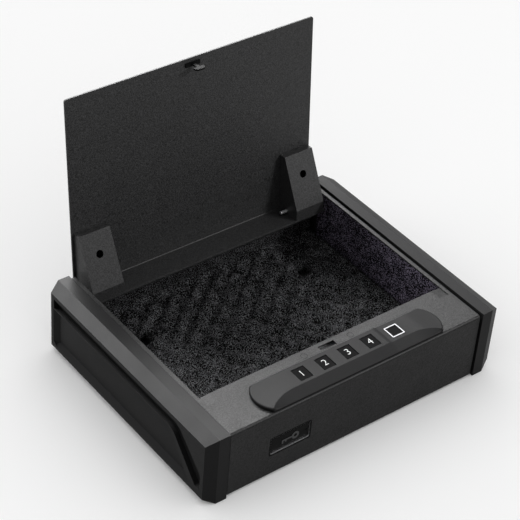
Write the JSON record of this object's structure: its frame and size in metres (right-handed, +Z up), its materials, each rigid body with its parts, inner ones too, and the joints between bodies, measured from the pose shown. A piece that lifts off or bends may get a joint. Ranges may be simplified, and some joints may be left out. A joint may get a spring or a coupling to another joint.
{
  "type": "pistol safe",
  "caption": "Slim steel box safe with bevelled end caps, a rear-hinged lid on wedge brackets, a raised keypad strip with a fingerprint sensor, an inner latch bar and a key lock.",
  "frame": {"origin": "centre of the box around the part with its lid open, at floor level", "axes": "+X along the width to the right as seen from the front, +Y from the keypad to the hinge, +Z up"},
  "size_m": [0.38, 0.3072, 0.2915],
  "materials": {
    "case_steel": "fine-textured black powder coat",
    "lid_steel": "fine-textured black powder coat",
    "cap_plastic": "fine spark-eroded texture",
    "plated_steel": "bright zinc plating",
    "foot_rubber": "matt",
    "foam": "open-cell foam",
    "keypad_plastic": "satin",
    "button_plastic": "satin with printed digits",
    "sensor_ring": "bright metal",
    "sensor_glass": "gloss",
    "board": "solder mask",
    "switch_plastic": "moulded",
    "motor_steel": "plain",
    "crank_plastic": "moulded acetal",
    "lock_brass": "machined",
    "cell_wrap": "printed sleeve",
    "wire_red": "sleeve"
  },
  "bodies": {
    "safe_body": {"base_tray": "case_steel", "front_panel": "case_steel", "left_side_plate": "case_steel", "right_side_plate": "case_steel", "electronics_partition": "case_steel", "left_end_cap": "cap_plastic", "right_end_cap": "cap_plastic", "end_cap_screws": "plated_steel", "rubber_feet": "foot_rubber", "foam_base": "foam", "left_foam_lining": "foam", "right_foam_lining": "foam", "rear_foam_lining": "foam", "left_hinge_pin": "plated_steel", "right_hinge_pin": "plated_steel", "keypad_housing": "keypad_plastic", "fingerprint_bezel": "sensor_ring", "fingerprint_sensor": "sensor_glass", "control_board": "board", "tact_switches": "switch_plastic", "board_screws": "plated_steel", "keypad_screws": "plated_steel", "latch_channel": "plated_steel", "deck_screws": "plated_steel", "motor_bracket": "plated_steel", "latch_motor": "motor_steel", "key_bezel": "keypad_plastic", "lock_body": "plated_steel", "battery_box": "keypad_plastic", "batteries": "cell_wrap", "wiring": "wire_red"},
    "lid": {"lid_panel": "lid_steel", "left_hinge_bracket": "lid_steel", "right_hinge_bracket": "lid_steel", "left_torsion_spring": "plated_steel", "right_torsion_spring": "plated_steel", "lid_striker": "plated_steel"},
    "latch_bar": {"latch_bar": "plated_steel"},
    "motor_crank": {"motor_crank": "crank_plastic"},
    "lock_plug": {"lock_plug": "lock_brass", "lock_cam": "plated_steel"},
    "key_cover": {"key_cover": "keypad_plastic"},
    "battery_door": {"battery_door": "keypad_plastic"},
    "button_1": {"button_1": "button_plastic"},
    "button_2": {"button_2": "button_plastic"},
    "button_3": {"button_3": "button_plastic"},
    "button_4": {"button_4": "button_plastic"}
  },
  "joints": [
    {"name": "lid_hinge", "type": "hinge", "parent": "safe_body", "child": "lid", "pos_m": [0, 0.11817, 0.06855], "axis": [1, 0, 0], "range_deg": [0, 94.79], "deforming": ["left_torsion_spring", "right_torsion_spring"]},
    {"name": "latch_slide", "type": "slide", "parent": "safe_body", "child": "latch_bar", "axis": [1, 0, 0], "range_m": [0, 0.0055]},
    {"name": "crank_turn", "type": "hinge", "parent": "safe_body", "child": "motor_crank", "pos_m": [0.048, -0.10413, 0.07], "axis": [0, 0, -1], "range_deg": [0, 70]},
    {"name": "key_turn", "type": "hinge", "parent": "safe_body", "child": "lock_plug", "pos_m": [-0.0864, -0.13363, 0.0394], "axis": [0, 1, 0], "range_deg": [-70, 0]},
    {"name": "key_cover_pull", "type": "slide", "parent": "safe_body", "child": "key_cover", "axis": [0, -1, 0], "range_m": [0, 0.012]},
    {"name": "battery_door_hinge", "type": "hinge", "parent": "safe_body", "child": "battery_door", "pos_m": [0.113, -0.09093, 0.0475], "axis": [1, 0, 0], "range_deg": [0, 95]},
    {"name": "button_1_press", "type": "slide", "parent": "safe_body", "child": "button_1", "axis": [0, 0, -1], "range_m": [0, 0.001], "stiffness_N_per_m": 400, "springref_m": -0.002},
    {"name": "button_2_press", "type": "slide", "parent": "safe_body", "child": "button_2", "axis": [0, 0, -1], "range_m": [0, 0.001], "stiffness_N_per_m": 400, "springref_m": -0.002},
    {"name": "button_3_press", "type": "slide", "parent": "safe_body", "child": "button_3", "axis": [0, 0, -1], "range_m": [0, 0.001], "stiffness_N_per_m": 400, "springref_m": -0.002},
    {"name": "button_4_press", "type": "slide", "parent": "safe_body", "child": "button_4", "axis": [0, 0, -1], "range_m": [0, 0.001], "stiffness_N_per_m": 400, "springref_m": -0.002}
  ],
  "couplings": [
    {"joint": "crank_turn", "follows": "latch_slide", "rad_per_m": 222.1}
  ]
}
